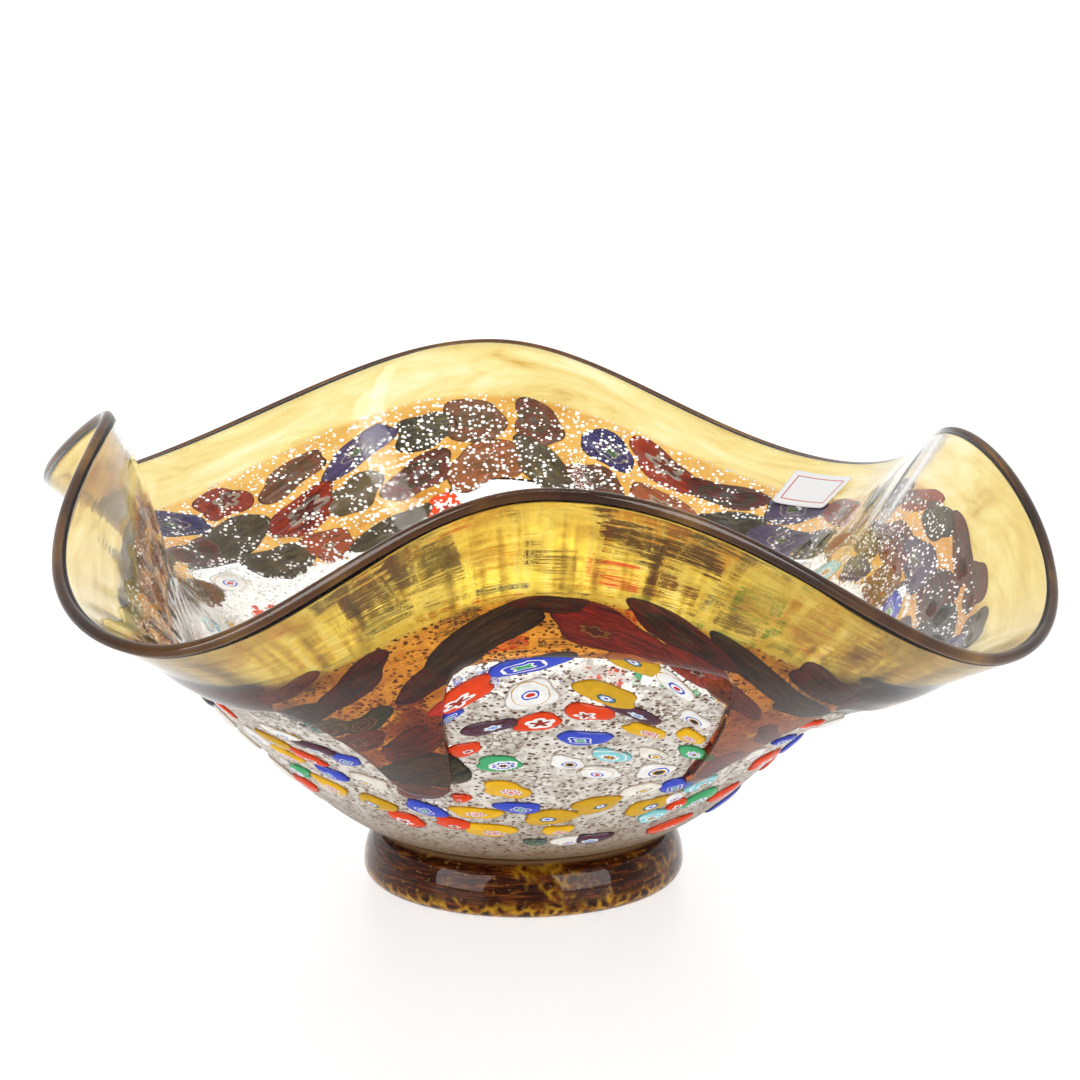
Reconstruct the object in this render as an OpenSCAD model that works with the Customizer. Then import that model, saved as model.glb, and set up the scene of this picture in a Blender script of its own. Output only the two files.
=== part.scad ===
// Blown art-glass centrepiece bowl: a clear gather with silver leaf and cane slices,
// an amber overlay that runs down in drips, a four-lobed wavy rim and an applied ring foot.
// Millimetres, +Z up. The origin is the centre of the foot's flat ring, on the table.
// Azimuths are in degrees, counter-clockwise from +X; the front of the bowl faces -Y.
// "Way up the wall" runs from 0 at the foot to 1 at the rim.

/* [Rim] */
// Azimuth of each crest of the rim: right, back, left, front
crest_azimuth = [17, 95, 183, 272]; // [0:1:360]
// How far each crest stands from the axis
crest_reach = [158, 166, 136, 182]; // [120:1:200]
// Height of each crest above the table
crest_height = [141, 154, 157, 167]; // [130:1:180]
// Azimuth of each dip: back right, back left, front left, front right
dip_azimuth = [52, 144, 234, 326]; // [0:1:360]
// How far each dip stands from the axis
dip_reach = [190, 196, 188, 182]; // [150:1:210]
// Height of each dip above the table
dip_height = [110, 111, 115, 101]; // [90:1:125]
// Slope of the wall where it ends in each crest
crest_slope = [50, 55, 60, 50]; // [35:1:70]
// Slope of the wall where it ends in a dip
dip_slope = 25; // [10:1:40]
// Radius of the fire-polished lip
lip_r = 2.2; // [2:0.1:3]

/* [Bowl] */
// Radius where the round bowl ends and the wall starts to flare
shoulder_r = 96.5; // [90:0.5:100]
// Height of that shoulder
shoulder_z = 58; // [50:1:66]
// Slope of the wall at the shoulder
shoulder_slope = 42; // [35:1:50]
// Radius of the bowl where the foot joins it
base_r = 47; // [44:0.5:50]
// Height of that joint
base_z = 19; // [17:0.5:21]
// Height of the underside at the axis
pontil_z = 14; // [12:0.5:16]

/* [Glass] */
// Thickness of the clear gather at the foot
clear_foot_t = 4.2; // [3:0.1:6]
// Thickness of the clear gather at the rim
clear_rim_t = 2.4; // [2:0.1:3]
// Thickness of the silver leaf under its skin of glass
leaf_t = 0.3; // [0.2:0.05:0.4]
// Thickness of the amber overlay
amber_t = 1.1; // [0.9:0.1:1.6]
// Where the leaf and the canes end, as a way up the wall
leaf_edge = 0.86; // [0.84:0.01:0.88]
// Where the amber overlay ends between its drips, as a way up the wall
amber_edge = 0.72; // [0.7:0.01:0.74]

/* [Canes] */
// How thick a cane slice lies on the wall
slice_t = 1.4; // [1:0.1:1.5]
// Distance between the slices round each row
slice_pitch = 22; // [22:1:40]

/* [Foot] */
// Widest radius of the foot
foot_r = 53.5; // [52:0.5:56]
// Radius of the flat ring that it stands on
foot_stand_r = 48.5; // [47:0.5:50]
// Radius of the hollow under the foot
foot_hollow_r = 38; // [34:0.5:40]
// Height of the foot where it is widest
foot_wide_z = 5; // [4:0.5:9]
// Height of the flank above its widest place
foot_flank_rise = 12.6; // [10:0.1:13]
// Radius that the flank leans in to under the bowl
foot_neck_r = 47.5; // [46:0.5:50]

/* [Hidden] */

turn_steps = 90;                 // facets round the bowl
leaf_steps = 9;                  // facets up the leaf, and up the wall behind it
bare_steps = 3;                  // facets up the wall above the leaf
amber_steps = 8;                 // facets up the amber
lip_sides = 7;                   // facets across the lip
slice_sides = 10;                // facets round one cane slice
skin_gap = 0.05;                 // play between two layers of glass
slice_lift = 0.9;                // height of a slice's back above the clear gather
amber_lift = slice_lift + slice_t + 0.8;    // height of the amber where it covers slices
amber_rest = leaf_t + 2 * skin_gap;         // height of the amber above the leaf's edge
shoulder_s = 0.4;                // way up the wall at the shoulder
round_pull = 18;                 // length of the round bowl's upper handle
round_foot = [66, 25];           // the round bowl's lower handle, as radius and height
crest_start = 0.3;               // share of the flare that keeps the shoulder's slope
dip_start = 0.15;
flare_end = 0.35;                // share of the flare that has the rim's slope
turns = [for (j = [0:turn_steps - 1]) j * 360 / turn_steps];

// Each drip of amber: azimuth, half width in degrees, length as a way down the wall
DRIPS = [
    [251, 8, 0.38], [305, 6, 0.37], [118, 13, 0.24], [66, 9, 0.18],
    [20, 12, 0.16], [352, 8, 0.28], [190, 11, 0.26], [158, 8, 0.16]
];

// ---- the rim, as it runs round the bowl ----

rim_azimuth = [for (k = [0:3]) each [crest_azimuth[k], dip_azimuth[k]]];

function alternate(crests, dips) = [for (k = [0:3]) each [crests[k], dips[k]]];

rim_reach = alternate(crest_reach, dip_reach);
rim_height = alternate(crest_height, dip_height);
rim_slope = alternate(crest_slope, [for (k = [0:3]) dip_slope]);
rim_start = alternate([for (k = [0:3]) crest_start], [for (k = [0:3]) dip_start]);

function wrap(az) = az - 360 * floor(az / 360);
function since(az, k) = wrap(az - rim_azimuth[k]);
function stretch(k) = wrap(rim_azimuth[(k + 1) % 8] - rim_azimuth[k]);

// Smooth value between the two crests or dips that az lies between
function round_rim(values, az) =
    let (k = [for (i = [0:7]) if (since(az, i) < stretch(i)) i][0],
         w = (1 - cos(180 * since(az, k) / stretch(k))) / 2)
    values[k] * (1 - w) + values[(k + 1) % 8] * w;

// ---- the wall, as a surface of azimuth and way up ----

function bezier(a, b, c, d, u) =
    pow(1 - u, 3) * a + 3 * u * pow(1 - u, 2) * b + 3 * u * u * (1 - u) * c + pow(u, 3) * d;

foot_joint = [base_r, base_z];
shoulder = [shoulder_r, shoulder_z];
shoulder_dir = [cos(shoulder_slope), sin(shoulder_slope)];

function wall_rz(az, s) = s < shoulder_s
    ? bezier(foot_joint, round_foot, shoulder - round_pull * shoulder_dir, shoulder, s / shoulder_s)
    : let (slope = round_rim(rim_slope, az),
           rim_dir = [cos(slope), sin(slope)],
           rim = [round_rim(rim_reach, az), round_rim(rim_height, az)] - lip_r * rim_dir,
           span = norm(rim - shoulder))
      bezier(shoulder, shoulder + round_rim(rim_start, az) * span * shoulder_dir,
             rim - flare_end * span * rim_dir, rim, (s - shoulder_s) / (1 - shoulder_s));

function wall_point(az, s) = let (p = wall_rz(az, s)) [p[0] * cos(az), p[0] * sin(az), p[1]];

// Unit vectors at a place on the wall: round it, up it and out of it
function wall_axes(az, s) =
    let (lo = max(0, s - 0.003), hi = min(1, s + 0.003),
         along = wall_point(az + 0.5, s) - wall_point(az - 0.5, s),
         up = wall_point(az, hi) - wall_point(az, lo),
         out = cross(along, up))
    [along / norm(along), up / norm(up), out / norm(out)];

// A place on the wall, lifted out of its clear surface
function lifted(az, s, off) = wall_point(az, s) + off * wall_axes(az, s)[2];

// Length of wall in one unit of way up
function wall_scale(az, s) = norm(wall_point(az, s + 0.01) - wall_point(az, s - 0.01)) / 0.02;

function leaf_top(az) = leaf_edge + 0.045 * sin(az) + 0.006 * sin(7 * az);

function leaf_row(az, i) = leaf_top(az) * i / leaf_steps;

function angle_between(a, b) = abs(wrap(a - b + 180) - 180);
function drip(az, d) = d[2] * exp(-pow(angle_between(az, d[0]) / d[1], 4));
function amber_bottom(az) =
    amber_edge + 0.012 * sin(5 * az) - max([for (d = DRIPS) drip(az, d)]);

// ---- solids ----

// Closed band between two sheets of points, each a list of full turns from the foot upwards.
// With poles given, both sheets close over the axis at the bottom instead.
module band(outer, inner, poles = []) {
    n = len(outer[0]);
    m = len(outer);
    function o(i, j) = i * n + j % n;
    function q(i, j) = (m + i) * n + j % n;
    points = concat([for (row = outer) each row], [for (row = inner) each row], poles);
    sheets = [for (i = [0:m - 2], j = [0:n - 1]) each [
        [o(i, j), o(i + 1, j), o(i, j + 1)], [o(i, j + 1), o(i + 1, j), o(i + 1, j + 1)],
        [q(i, j), q(i, j + 1), q(i + 1, j)], [q(i, j + 1), q(i + 1, j + 1), q(i + 1, j)]]];
    top = [for (j = [0:n - 1]) each [
        [o(m - 1, j + 1), o(m - 1, j), q(m - 1, j)],
        [o(m - 1, j + 1), q(m - 1, j), q(m - 1, j + 1)]]];
    foot = len(poles) > 0
        ? [for (j = [0:n - 1]) each [
            [2 * m * n, o(0, j), o(0, j + 1)], [2 * m * n + 1, q(0, j + 1), q(0, j)]]]
        : [for (j = [0:n - 1]) each [
            [o(0, j), o(0, j + 1), q(0, j)], [q(0, j), o(0, j + 1), q(0, j + 1)]]];
    polyhedron(points = points, faces = concat(sheets, top, foot), convexity = 6);
}

module clear_gather() {
    function thickness(s) = clear_foot_t + (clear_rim_t - clear_foot_t) * s;
    function way(az, i) = i < leaf_steps
        ? leaf_row(az, i)
        : leaf_top(az) + (1 - leaf_top(az)) * (i - leaf_steps) / bare_steps;
    rows = [0:leaf_steps + bare_steps];
    color("lightcyan", 0.5)
        band([for (i = rows) [for (az = turns) wall_point(az, way(az, i))]],
             [for (i = rows) [for (az = turns) lifted(az, way(az, i), -thickness(way(az, i)))]],
             [[0, 0, pontil_z], [0, 0, pontil_z + clear_foot_t + 1]]);
}

module silver_leaf() {
    function rows(off) = [for (i = [0:leaf_steps]) [for (az = turns) lifted(az, leaf_row(az, i), off)]];
    color("silver") band(rows(skin_gap + leaf_t), rows(skin_gap));
}

module amber_overlay() {
    // The overlay rides over the slices below the leaf's edge and lies on the wall above it
    function lift(az, s) =
        let (w = min(1, max(0, (s - leaf_top(az) - 0.03) / 0.06)))
        amber_lift + (amber_rest - amber_lift) * w * w * (3 - 2 * w);
    function rows(off) = [for (i = [0:amber_steps])
        [for (az = turns) let (s = amber_bottom(az) + (1 - amber_bottom(az)) * i / amber_steps)
            lifted(az, s, lift(az, s) + off)]];
    color("goldenrod", 0.7) band(rows(amber_t), rows(0));
}

// The wall ends in a bead: a round section with a flat seat on the two layers of glass
module rim_lip() {
    middle = (amber_rest + amber_t - clear_rim_t) / 2;
    half_wall = (amber_rest + amber_t + clear_rim_t) / 2;
    half_turn = 180 - asin(half_wall / lip_r);
    function ring(az) = let (axes = wall_axes(az, 1)) [for (k = [0:lip_sides])
        let (a = half_turn * (2 * k / lip_sides - 1))
        wall_point(az, 1) + (middle + lip_r * sin(a)) * axes[2]
            + (skin_gap - lip_r * cos(half_turn) + lip_r * cos(a)) * axes[1]];
    rings = [for (az = turns) ring(az)];
    n = lip_sides + 1;
    function p(j, k) = (j % turn_steps) * n + k % n;
    color("saddlebrown")
        polyhedron(points = [for (r = rings) each r],
                   faces = [for (j = [0:turn_steps - 1], k = [0:n - 1]) each [
                       [p(j, k), p(j + 1, k), p(j, k + 1)],
                       [p(j, k + 1), p(j + 1, k), p(j + 1, k + 1)]]],
                   convexity = 6);
}

// A stout ring with a flat stand and a round flank, seated on the underside of the bowl
module foot_ring() {
    under_slope = (base_z - pontil_z) / base_r;
    function under(r) = pontil_z + under_slope * r - skin_gap;
    flank = concat(
        [for (a = [-90:15:0]) [foot_stand_r + (foot_r - foot_stand_r) * cos(a),
            foot_wide_z * (1 + sin(a))]],
        [for (a = [15:15:75]) [foot_neck_r + (foot_r - foot_neck_r) * cos(a),
            foot_wide_z + foot_flank_rise * sin(a)]]);
    color("sienna")
        rotate_extrude($fn = 128)
            polygon(concat([[foot_hollow_r, 0]], flank,
                [[base_r - 1, under(base_r - 1)], [foot_hollow_r + 1, under(foot_hollow_r + 1)]]));
}

module paper_label() {
    label_az = 51;
    label_s = 0.9;
    label_w = 26;
    label_h = 20;
    paper_t = 0.2;
    cells = 4;
    off = -clear_rim_t - 0.75;
    r = wall_rz(label_az, label_s)[0];
    scale_s = wall_scale(label_az, label_s);
    function at(i, j, lift) = lifted(label_az + (i / cells - 0.5) * label_w / r * 180 / PI,
        label_s + (j / cells - 0.5) * label_h / scale_s, off + lift);
    n = cells + 1;
    function a(i, j) = i * n + j;
    function b(i, j) = n * n + a(i, j);
    edge = concat([for (i = [0:cells - 1]) a(i, 0)], [for (j = [0:cells - 1]) a(cells, j)],
        [for (i = [0:cells - 1]) a(cells - i, cells)], [for (j = [0:cells - 1]) a(0, cells - j)]);
    faces = [for (i = [0:cells - 1], j = [0:cells - 1]) each [
        [a(i, j), a(i + 1, j), a(i, j + 1)], [a(i + 1, j), a(i + 1, j + 1), a(i, j + 1)],
        [b(i, j), b(i, j + 1), b(i + 1, j)], [b(i + 1, j), b(i, j + 1), b(i + 1, j + 1)]]];
    sides = [for (k = [0:len(edge) - 1])
        let (e = edge[k], f = edge[(k + 1) % len(edge)], w = n * n) each [
        [f, e, e + w], [f, e + w, f + w]]];
    color("white")
        polyhedron(points = concat([for (i = [0:cells], j = [0:cells]) at(i, j, 0)],
                                   [for (i = [0:cells], j = [0:cells]) at(i, j, paper_t)]),
                   faces = concat(faces, sides));
}

// ---- cane slices ----

// One slice lying on the wall: place is [azimuth, way up, width, height, turn]
module slice(place) {
    az = place[0];
    s = place[1];
    r = wall_rz(az, s)[0];
    scale_s = wall_scale(az, s);
    function rim(size, off) = [for (k = [0:slice_sides - 1])
        let (a = 360 * k / slice_sides,
             x = place[2] / 2 * size * cos(a), y = place[3] / 2 * size * sin(a),
             dx = x * cos(place[4]) - y * sin(place[4]),
             dy = x * sin(place[4]) + y * cos(place[4]))
        lifted(az + dx / r * 180 / PI, s + dy / scale_s, off)];
    n = slice_sides;
    middles = [lifted(az, s, slice_lift), lifted(az, s, slice_lift + slice_t)];
    faces = [for (k = [0:n - 1]) let (j = (k + 1) % n) each [
        [k, j + n, j], [k, k + n, j + n], [2 * n, k, j], [2 * n + 1, j + n, k + n]]];
    polyhedron(points = concat(rim(1, slice_lift), rim(0.82, slice_lift + slice_t), middles),
               faces = faces);
}

module slices(kind, shade) {
    color(shade)
        for (place = concat(search_kind(kind), field_of(kind)))
            slice(place);
}

// Slices that the maker set by hand over the front of the bowl
FRONT = [
    ["red_star", [[262, 0.65, 16, 9, 12], [272, 0.575, 12, 6.5, 8], [279, 0.6, 12, 6, 12],
        [306, 0.265, 5, 4.5, 0], [242, 0.23, 9, 6, -15], [326, 0.36, 11, 8, 10],
        [214, 0.58, 10, 7, 0], [246, 0.6, 9, 7, -10]]],
    ["white_ring", [[271, 0.635, 12, 11, 0], [283, 0.445, 11, 5.5, 0], [303, 0.3, 5, 4, 20],
        [281, 0.165, 7, 4.5, 0], [231, 0.6, 11, 7, -15], [289, 0.685, 13, 7, -25],
        [316, 0.45, 8, 6, 15]]],
    ["ochre_eye", [[281, 0.64, 15, 8.5, -4], [297.5, 0.28, 10, 7, 20], [276, 0.27, 12, 7, 0],
        [285, 0.31, 13, 8, 20], [237, 0.28, 10, 6, -25], [283.5, 0.715, 15, 8, -5],
        [224, 0.52, 10, 7, -20]]],
    ["yellow_flower", [[267, 0.385, 12, 6.5, -12], [262, 0.215, 12, 6, -8],
        [288, 0.565, 12, 4.5, 0], [296, 0.56, 10, 5, -5], [278, 0.215, 7, 4, 0],
        [226, 0.31, 10, 7, -20], [222, 0.43, 10, 7, -20], [260, 0.285, 11, 5, 0]]],
    ["cobalt", [[279, 0.54, 13, 5.5, 5], [301, 0.36, 10, 6.5, 15], [269, 0.31, 11, 6, -8],
        [249, 0.285, 9, 6, -25], [239, 0.5, 9, 6, -20], [231, 0.38, 9, 6, -20],
        [260, 0.61, 6, 4, 20], [271, 0.7, 20, 6, 12], [318, 0.54, 8, 5, 20]]],
    ["turquoise", [[284, 0.495, 11, 5, 0], [301, 0.235, 8, 5, 15], [308, 0.335, 9, 5, 20],
        [243, 0.66, 10, 6, -10]]],
    ["green", [[266, 0.475, 12, 6.5, -10], [299, 0.505, 11, 6, -8], [312, 0.27, 11, 6, 30],
        [249, 0.655, 9, 6, -5], [219, 0.34, 9, 6, 10]]],
    ["black_eye", [[277, 0.475, 8.5, 5.5, -5], [293.5, 0.44, 10, 7, 5],
        [295, 0.61, 9, 5.5, -3], [323, 0.62, 9, 6, 20], [217, 0.49, 9, 7, 0]]],
    ["aubergine", [[265, 0.57, 13, 5, -3], [285.5, 0.605, 14, 5, -8], [288, 0.17, 9, 4, 5],
        [235, 0.55, 12, 6, -25]]],
    ["red", [[261, 0.52, 9, 5, -12], [254, 0.235, 9, 5, -15], [258, 0.345, 5, 3.5, 0],
        [311, 0.17, 12, 5, 15], [323, 0.25, 10, 6, 0], [307, 0.45, 11, 7, 40],
        [279.5, 0.77, 21, 8.5, -3], [290.5, 0.735, 13, 8, -10], [316, 0.64, 10, 5, 20],
        [229, 0.46, 10, 6, -25], [213, 0.27, 9, 6, 0]]],
    ["white_ochre", [[291, 0.5, 9, 5, 0], [293, 0.36, 11, 6, 12], [240, 0.38, 10, 6, -20]]],
    ["bottle_green", [[264, 0.755, 24, 10, 20], [299, 0.765, 19, 8, -8], [253, 0.465, 15, 11, 0],
        [273, 0.165, 5, 3, 0], [318, 0.75, 16, 8, -10], [216, 0.72, 16, 8, 10],
        [242, 0.72, 14, 7, 10], [308, 0.72, 14, 7, 5]]],
    ["brown", [[273.5, 0.81, 18, 6, 0], [288.5, 0.79, 20, 8, -5], [258, 0.705, 13, 7, 15],
        [308, 0.79, 18, 8, 0], [250, 0.76, 16, 8, 15], [234, 0.76, 18, 8, 10],
        [225.5, 0.765, 14, 7, 5], [327, 0.79, 14, 7, 0]]],
    ["orange", [[298, 0.69, 14, 8, -5], [250, 0.37, 10, 7, 0], [253, 0.56, 12, 7, 0],
        [243, 0.8, 13, 5, 10], [309, 0.6, 9, 6, -30]]]
];

function search_kind(kind) = [for (entry = FRONT) if (entry[0] == kind) each entry[1]];

// The rest of the wall: rows of slices at an even pitch, each nudged, turned and sized at random.
// A slice is bright below the amber and dark under it.
FIELD_FROM = -25;                // azimuth where the field starts
FIELD_TO = 204;                  // azimuth where it ends
FIELD_ROWS = [0.17, 0.27, 0.37, 0.47, 0.57, 0.67, 0.76, 0.845];
BRIGHT = [
    "red_star", "yellow_flower", "cobalt", "white_ring", "red", "green", "ochre_eye",
    "black_eye", "turquoise", "aubergine", "red_star", "white_ochre", "cobalt", "yellow_flower"
];
DARK = ["brown", "bottle_green", "red", "brown", "orange", "bottle_green", "cobalt", "red_star"];

function field_row(i) =
    let (s = FIELD_ROWS[i],
         arc = (FIELD_TO - FIELD_FROM) * PI / 180 * wall_rz(95, s)[0],
         count = floor(arc / slice_pitch),
         step = (FIELD_TO - FIELD_FROM) / count,
         chance = rands(0, 1, count * 6, 41 + i))
    [for (k = [0:count - 1])
        let (c = [for (t = [0:5]) chance[k * 6 + t]],
             az = FIELD_FROM + (k + 0.25 + (i % 2) / 2 + 0.3 * (c[0] - 0.5)) * step,
             way = s + 0.02 * (c[1] - 0.5),
             dark = way > amber_bottom(az),
             list = dark ? DARK : BRIGHT)
        [list[floor(c[2] * len(list))],
         [az, way, (dark ? 14 : 10) + 5 * c[3], (dark ? 7 : 6.5) + 2.5 * c[4], 40 * (c[5] - 0.5)]]];

field = [for (i = [0:len(FIELD_ROWS) - 1]) each field_row(i)];

function field_of(kind) = [for (entry = field) if (entry[0] == kind) entry[1]];

module murrine_red_star() { slices("red_star", "crimson"); }
module murrine_white_ring() { slices("white_ring", "white"); }
module murrine_ochre_eye() { slices("ochre_eye", "goldenrod"); }
module murrine_yellow_flower() { slices("yellow_flower", "gold"); }
module murrine_cobalt() { slices("cobalt", "royalblue"); }
module murrine_turquoise() { slices("turquoise", "turquoise"); }
module murrine_green() { slices("green", "mediumseagreen"); }
module murrine_black_eye() { slices("black_eye", "whitesmoke"); }
module murrine_aubergine() { slices("aubergine", "indigo"); }
module murrine_red() { slices("red", "firebrick"); }
module murrine_white_ochre() { slices("white_ochre", "linen"); }
module murrine_bottle_green() { slices("bottle_green", "darkslategray"); }
module murrine_brown() { slices("brown", "maroon"); }
module murrine_orange() { slices("orange", "orangered"); }

clear_gather();
silver_leaf();
amber_overlay();
rim_lip();
foot_ring();
paper_label();
murrine_red_star();
murrine_white_ring();
murrine_ochre_eye();
murrine_yellow_flower();
murrine_cobalt();
murrine_turquoise();
murrine_green();
murrine_black_eye();
murrine_aubergine();
murrine_red();
murrine_white_ochre();
murrine_bottle_green();
murrine_brown();
murrine_orange();
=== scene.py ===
"""Looks for the wavy art-glass bowl: layered glass walls, silver leaf, cane slices, lip, foot and label."""

import math

import bmesh
import bpy
import numpy as np
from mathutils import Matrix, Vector


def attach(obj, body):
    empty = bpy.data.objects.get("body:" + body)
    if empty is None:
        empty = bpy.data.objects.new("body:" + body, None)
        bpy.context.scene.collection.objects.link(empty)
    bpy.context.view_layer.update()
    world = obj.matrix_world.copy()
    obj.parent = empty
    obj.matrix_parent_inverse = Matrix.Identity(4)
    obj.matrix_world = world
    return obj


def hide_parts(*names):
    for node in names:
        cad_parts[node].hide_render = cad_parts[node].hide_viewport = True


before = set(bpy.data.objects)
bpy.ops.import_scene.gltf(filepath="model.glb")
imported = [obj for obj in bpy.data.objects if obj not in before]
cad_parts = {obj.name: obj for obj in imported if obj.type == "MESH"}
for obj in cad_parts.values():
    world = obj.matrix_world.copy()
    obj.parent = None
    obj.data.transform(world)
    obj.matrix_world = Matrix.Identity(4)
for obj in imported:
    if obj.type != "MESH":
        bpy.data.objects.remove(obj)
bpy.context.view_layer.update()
MM = 0.001

# ---------------------------------------------------------------------------------------------
# The wall: the same surface as the CAD part, as a function of azimuth (degrees) and way up (0 to 1)
# ---------------------------------------------------------------------------------------------
CREST_AZIMUTH, DIP_AZIMUTH = (17, 95, 183, 272), (52, 144, 234, 326)
CREST_REACH, DIP_REACH = (158, 166, 136, 182), (190, 196, 188, 182)
CREST_HEIGHT, DIP_HEIGHT = (141, 154, 157, 167), (110, 111, 115, 101)
CREST_SLOPE, DIP_SLOPE = (50, 55, 60, 50), (25, 25, 25, 25)
CREST_START, DIP_START = (0.3,) * 4, (0.15,) * 4
FLARE_END = 0.35
LIP_R = 2.2
FOOT_JOINT = np.array((47.0, 19.0))
ROUND_FOOT = np.array((66.0, 25.0))
SHOULDER = np.array((96.5, 58.0))
SHOULDER_SLOPE = math.radians(42)
SHOULDER_DIR = np.array((math.cos(SHOULDER_SLOPE), math.sin(SHOULDER_SLOPE)))
ROUND_PULL = 18.0
SHOULDER_S = 0.4
FLOOR_S = 0.3  # way down that the floor takes, from the foot joint to the axis
PONTIL_Z = 14.0
CLEAR_FOOT_T, CLEAR_RIM_T = 4.2, 2.4
LEAF_LOW, LEAF_HIGH = 0.05, 0.16  # the leaf's two faces, as mm out of the clear face
AMBER_LOW, AMBER_HIGH = 0.22, 1.35  # the amber's, where no slices lie under it
AMBER_SWELL = 1.2  # how much further out it stands over the slices
LEAF_EDGE, AMBER_EDGE = 0.86, 0.72  # ways up where the leaf ends and the amber begins
# Drips of the amber's lower edge: azimuth, half width in degrees, and how far down in ways
DRIPS = (
    (251, 8, 0.38), (305, 6, 0.37), (118, 13, 0.24), (66, 9, 0.18),
    (20, 12, 0.16), (352, 8, 0.28), (190, 11, 0.26), (158, 8, 0.16),
)


def alternate(crests, dips):
    return np.array([v for pair in zip(crests, dips) for v in pair], float)


RIM_AZIMUTH = alternate(CREST_AZIMUTH, DIP_AZIMUTH)
RIM_REACH = alternate(CREST_REACH, DIP_REACH)
RIM_HEIGHT = alternate(CREST_HEIGHT, DIP_HEIGHT)
RIM_SLOPE = alternate(CREST_SLOPE, DIP_SLOPE)
RIM_START = alternate(CREST_START, DIP_START)


def round_rim(values, az):
    """Smooth value between the two crests or dips that az lies between."""
    turn = np.mod(az - RIM_AZIMUTH[0], 360) + RIM_AZIMUTH[0]
    ends = np.append(RIM_AZIMUTH, RIM_AZIMUTH[0] + 360)
    k = np.clip(np.searchsorted(ends, turn, side="right") - 1, 0, 7)
    w = (1 - np.cos(np.pi * (turn - ends[k]) / (ends[k + 1] - ends[k]))) / 2
    looped = np.append(values, values[0])
    return looped[k] * (1 - w) + looped[k + 1] * w


def bezier(a, b, c, d, u):
    return (1 - u) ** 3 * a + 3 * u * (1 - u) ** 2 * b + 3 * u * u * (1 - u) * c + u ** 3 * d


def wall_rz(az, s):
    """Radius and height of the clear gather's outer face, in mm. Below 0 it runs on under the floor."""
    az, s = np.broadcast_arrays(np.asarray(az, float), np.asarray(s, float))
    pulled = SHOULDER - ROUND_PULL * SHOULDER_DIR
    u = np.clip(s / SHOULDER_S, 0, 1)
    low = [bezier(FOOT_JOINT[i], ROUND_FOOT[i], pulled[i], SHOULDER[i], u) for i in (0, 1)]
    slope = np.radians(round_rim(RIM_SLOPE, az))
    rim_dir = (np.cos(slope), np.sin(slope))
    rim = (round_rim(RIM_REACH, az) - LIP_R * rim_dir[0], round_rim(RIM_HEIGHT, az) - LIP_R * rim_dir[1])
    span = np.hypot(rim[0] - SHOULDER[0], rim[1] - SHOULDER[1])
    start = round_rim(RIM_START, az) * span
    w = np.clip((s - SHOULDER_S) / (1 - SHOULDER_S), 0, 1)
    high = []
    for i in (0, 1):
        leaving = SHOULDER[i] + start * SHOULDER_DIR[i]
        arriving = rim[i] - FLARE_END * span * rim_dir[i]
        high.append(bezier(SHOULDER[i], leaving, arriving, rim[i], w))
    floor_f = np.clip(1 + s / FLOOR_S, 0, 1)
    floor = (FOOT_JOINT[0] * floor_f, PONTIL_Z + (FOOT_JOINT[1] - PONTIL_Z) * floor_f ** 2)
    r, z = (np.where(s < 0, floor[i], np.where(s < SHOULDER_S, low[i], high[i])) for i in (0, 1))
    return r, z


def wall_point(az, s):
    r, z = wall_rz(az, s)
    a = np.radians(az)
    return np.stack([r * np.cos(a), r * np.sin(a), z + 0 * a], -1)


def unit(v):
    return v / np.maximum(np.linalg.norm(v, axis=-1, keepdims=True), 1e-12)


SIDE_STEP, UP_STEP = 0.4, 0.003  # degrees and way over which the wall's slope is taken


def wall_axes(az, s):
    """Unit vectors round the wall, up it and out of it."""
    az, s = np.broadcast_arrays(np.asarray(az, float), np.asarray(s, float))
    a = np.radians(az)
    along = np.stack([-np.sin(a), np.cos(a), 0 * a], -1)
    skew = wall_point(az + SIDE_STEP, s) - wall_point(az - SIDE_STEP, s)
    along = np.where((s > -FLOOR_S + 0.01)[..., None], unit(skew), along)
    above = wall_point(az, np.minimum(s + UP_STEP, 1))
    below = wall_point(az, np.maximum(s - UP_STEP, -FLOOR_S))
    up = unit(above - below)
    return along, up, unit(np.cross(along, up))


def lifted(az, s, off):
    """A place on the wall, lifted out of its clear face by off mm, in mm."""
    off = np.broadcast_to(off, np.broadcast_shapes(np.shape(az), np.shape(s), np.shape(off)))
    return wall_point(az, s) + off[..., None] * wall_axes(az, s)[2]


def wall_scale(az, s):
    """Millimetres up the wall for each whole way."""
    return np.linalg.norm(wall_point(az, s + 0.01) - wall_point(az, s - 0.01), axis=-1) / 0.02


def clear_thickness(s):
    return CLEAR_FOOT_T + (CLEAR_RIM_T - CLEAR_FOOT_T) * s


def leaf_top(az):
    a = np.radians(az)
    return LEAF_EDGE + 0.045 * np.sin(a) + 0.006 * np.sin(7 * a)


def amber_bottom(az):
    drop = np.max([
        d[2] * np.exp(-(np.abs(np.mod(az - d[0] + 180, 360) - 180) / d[1]) ** 4) for d in DRIPS
    ], axis=0)
    return AMBER_EDGE + 0.012 * np.sin(np.radians(5 * az)) - drop


# ---------------------------------------------------------------------------------------------
# Meshes
# ---------------------------------------------------------------------------------------------
def make_object(name, points_mm, faces, attributes=()):
    """A smooth mesh object in metres, with one vector attribute per (name, values) pair."""
    mesh = bpy.data.meshes.new(name)
    mesh.from_pydata((np.asarray(points_mm) * MM).tolist(), [], faces)
    for key, values in attributes:
        layer = mesh.attributes.new(key, "FLOAT_VECTOR", "POINT")
        layer.data.foreach_set("vector", np.asarray(values, np.float32).ravel())
    mesh.polygons.foreach_set("use_smooth", [True] * len(mesh.polygons))
    mesh.update()
    ob = bpy.data.objects.new(name, mesh)
    bpy.context.scene.collection.objects.link(ob)
    return ob


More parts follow.
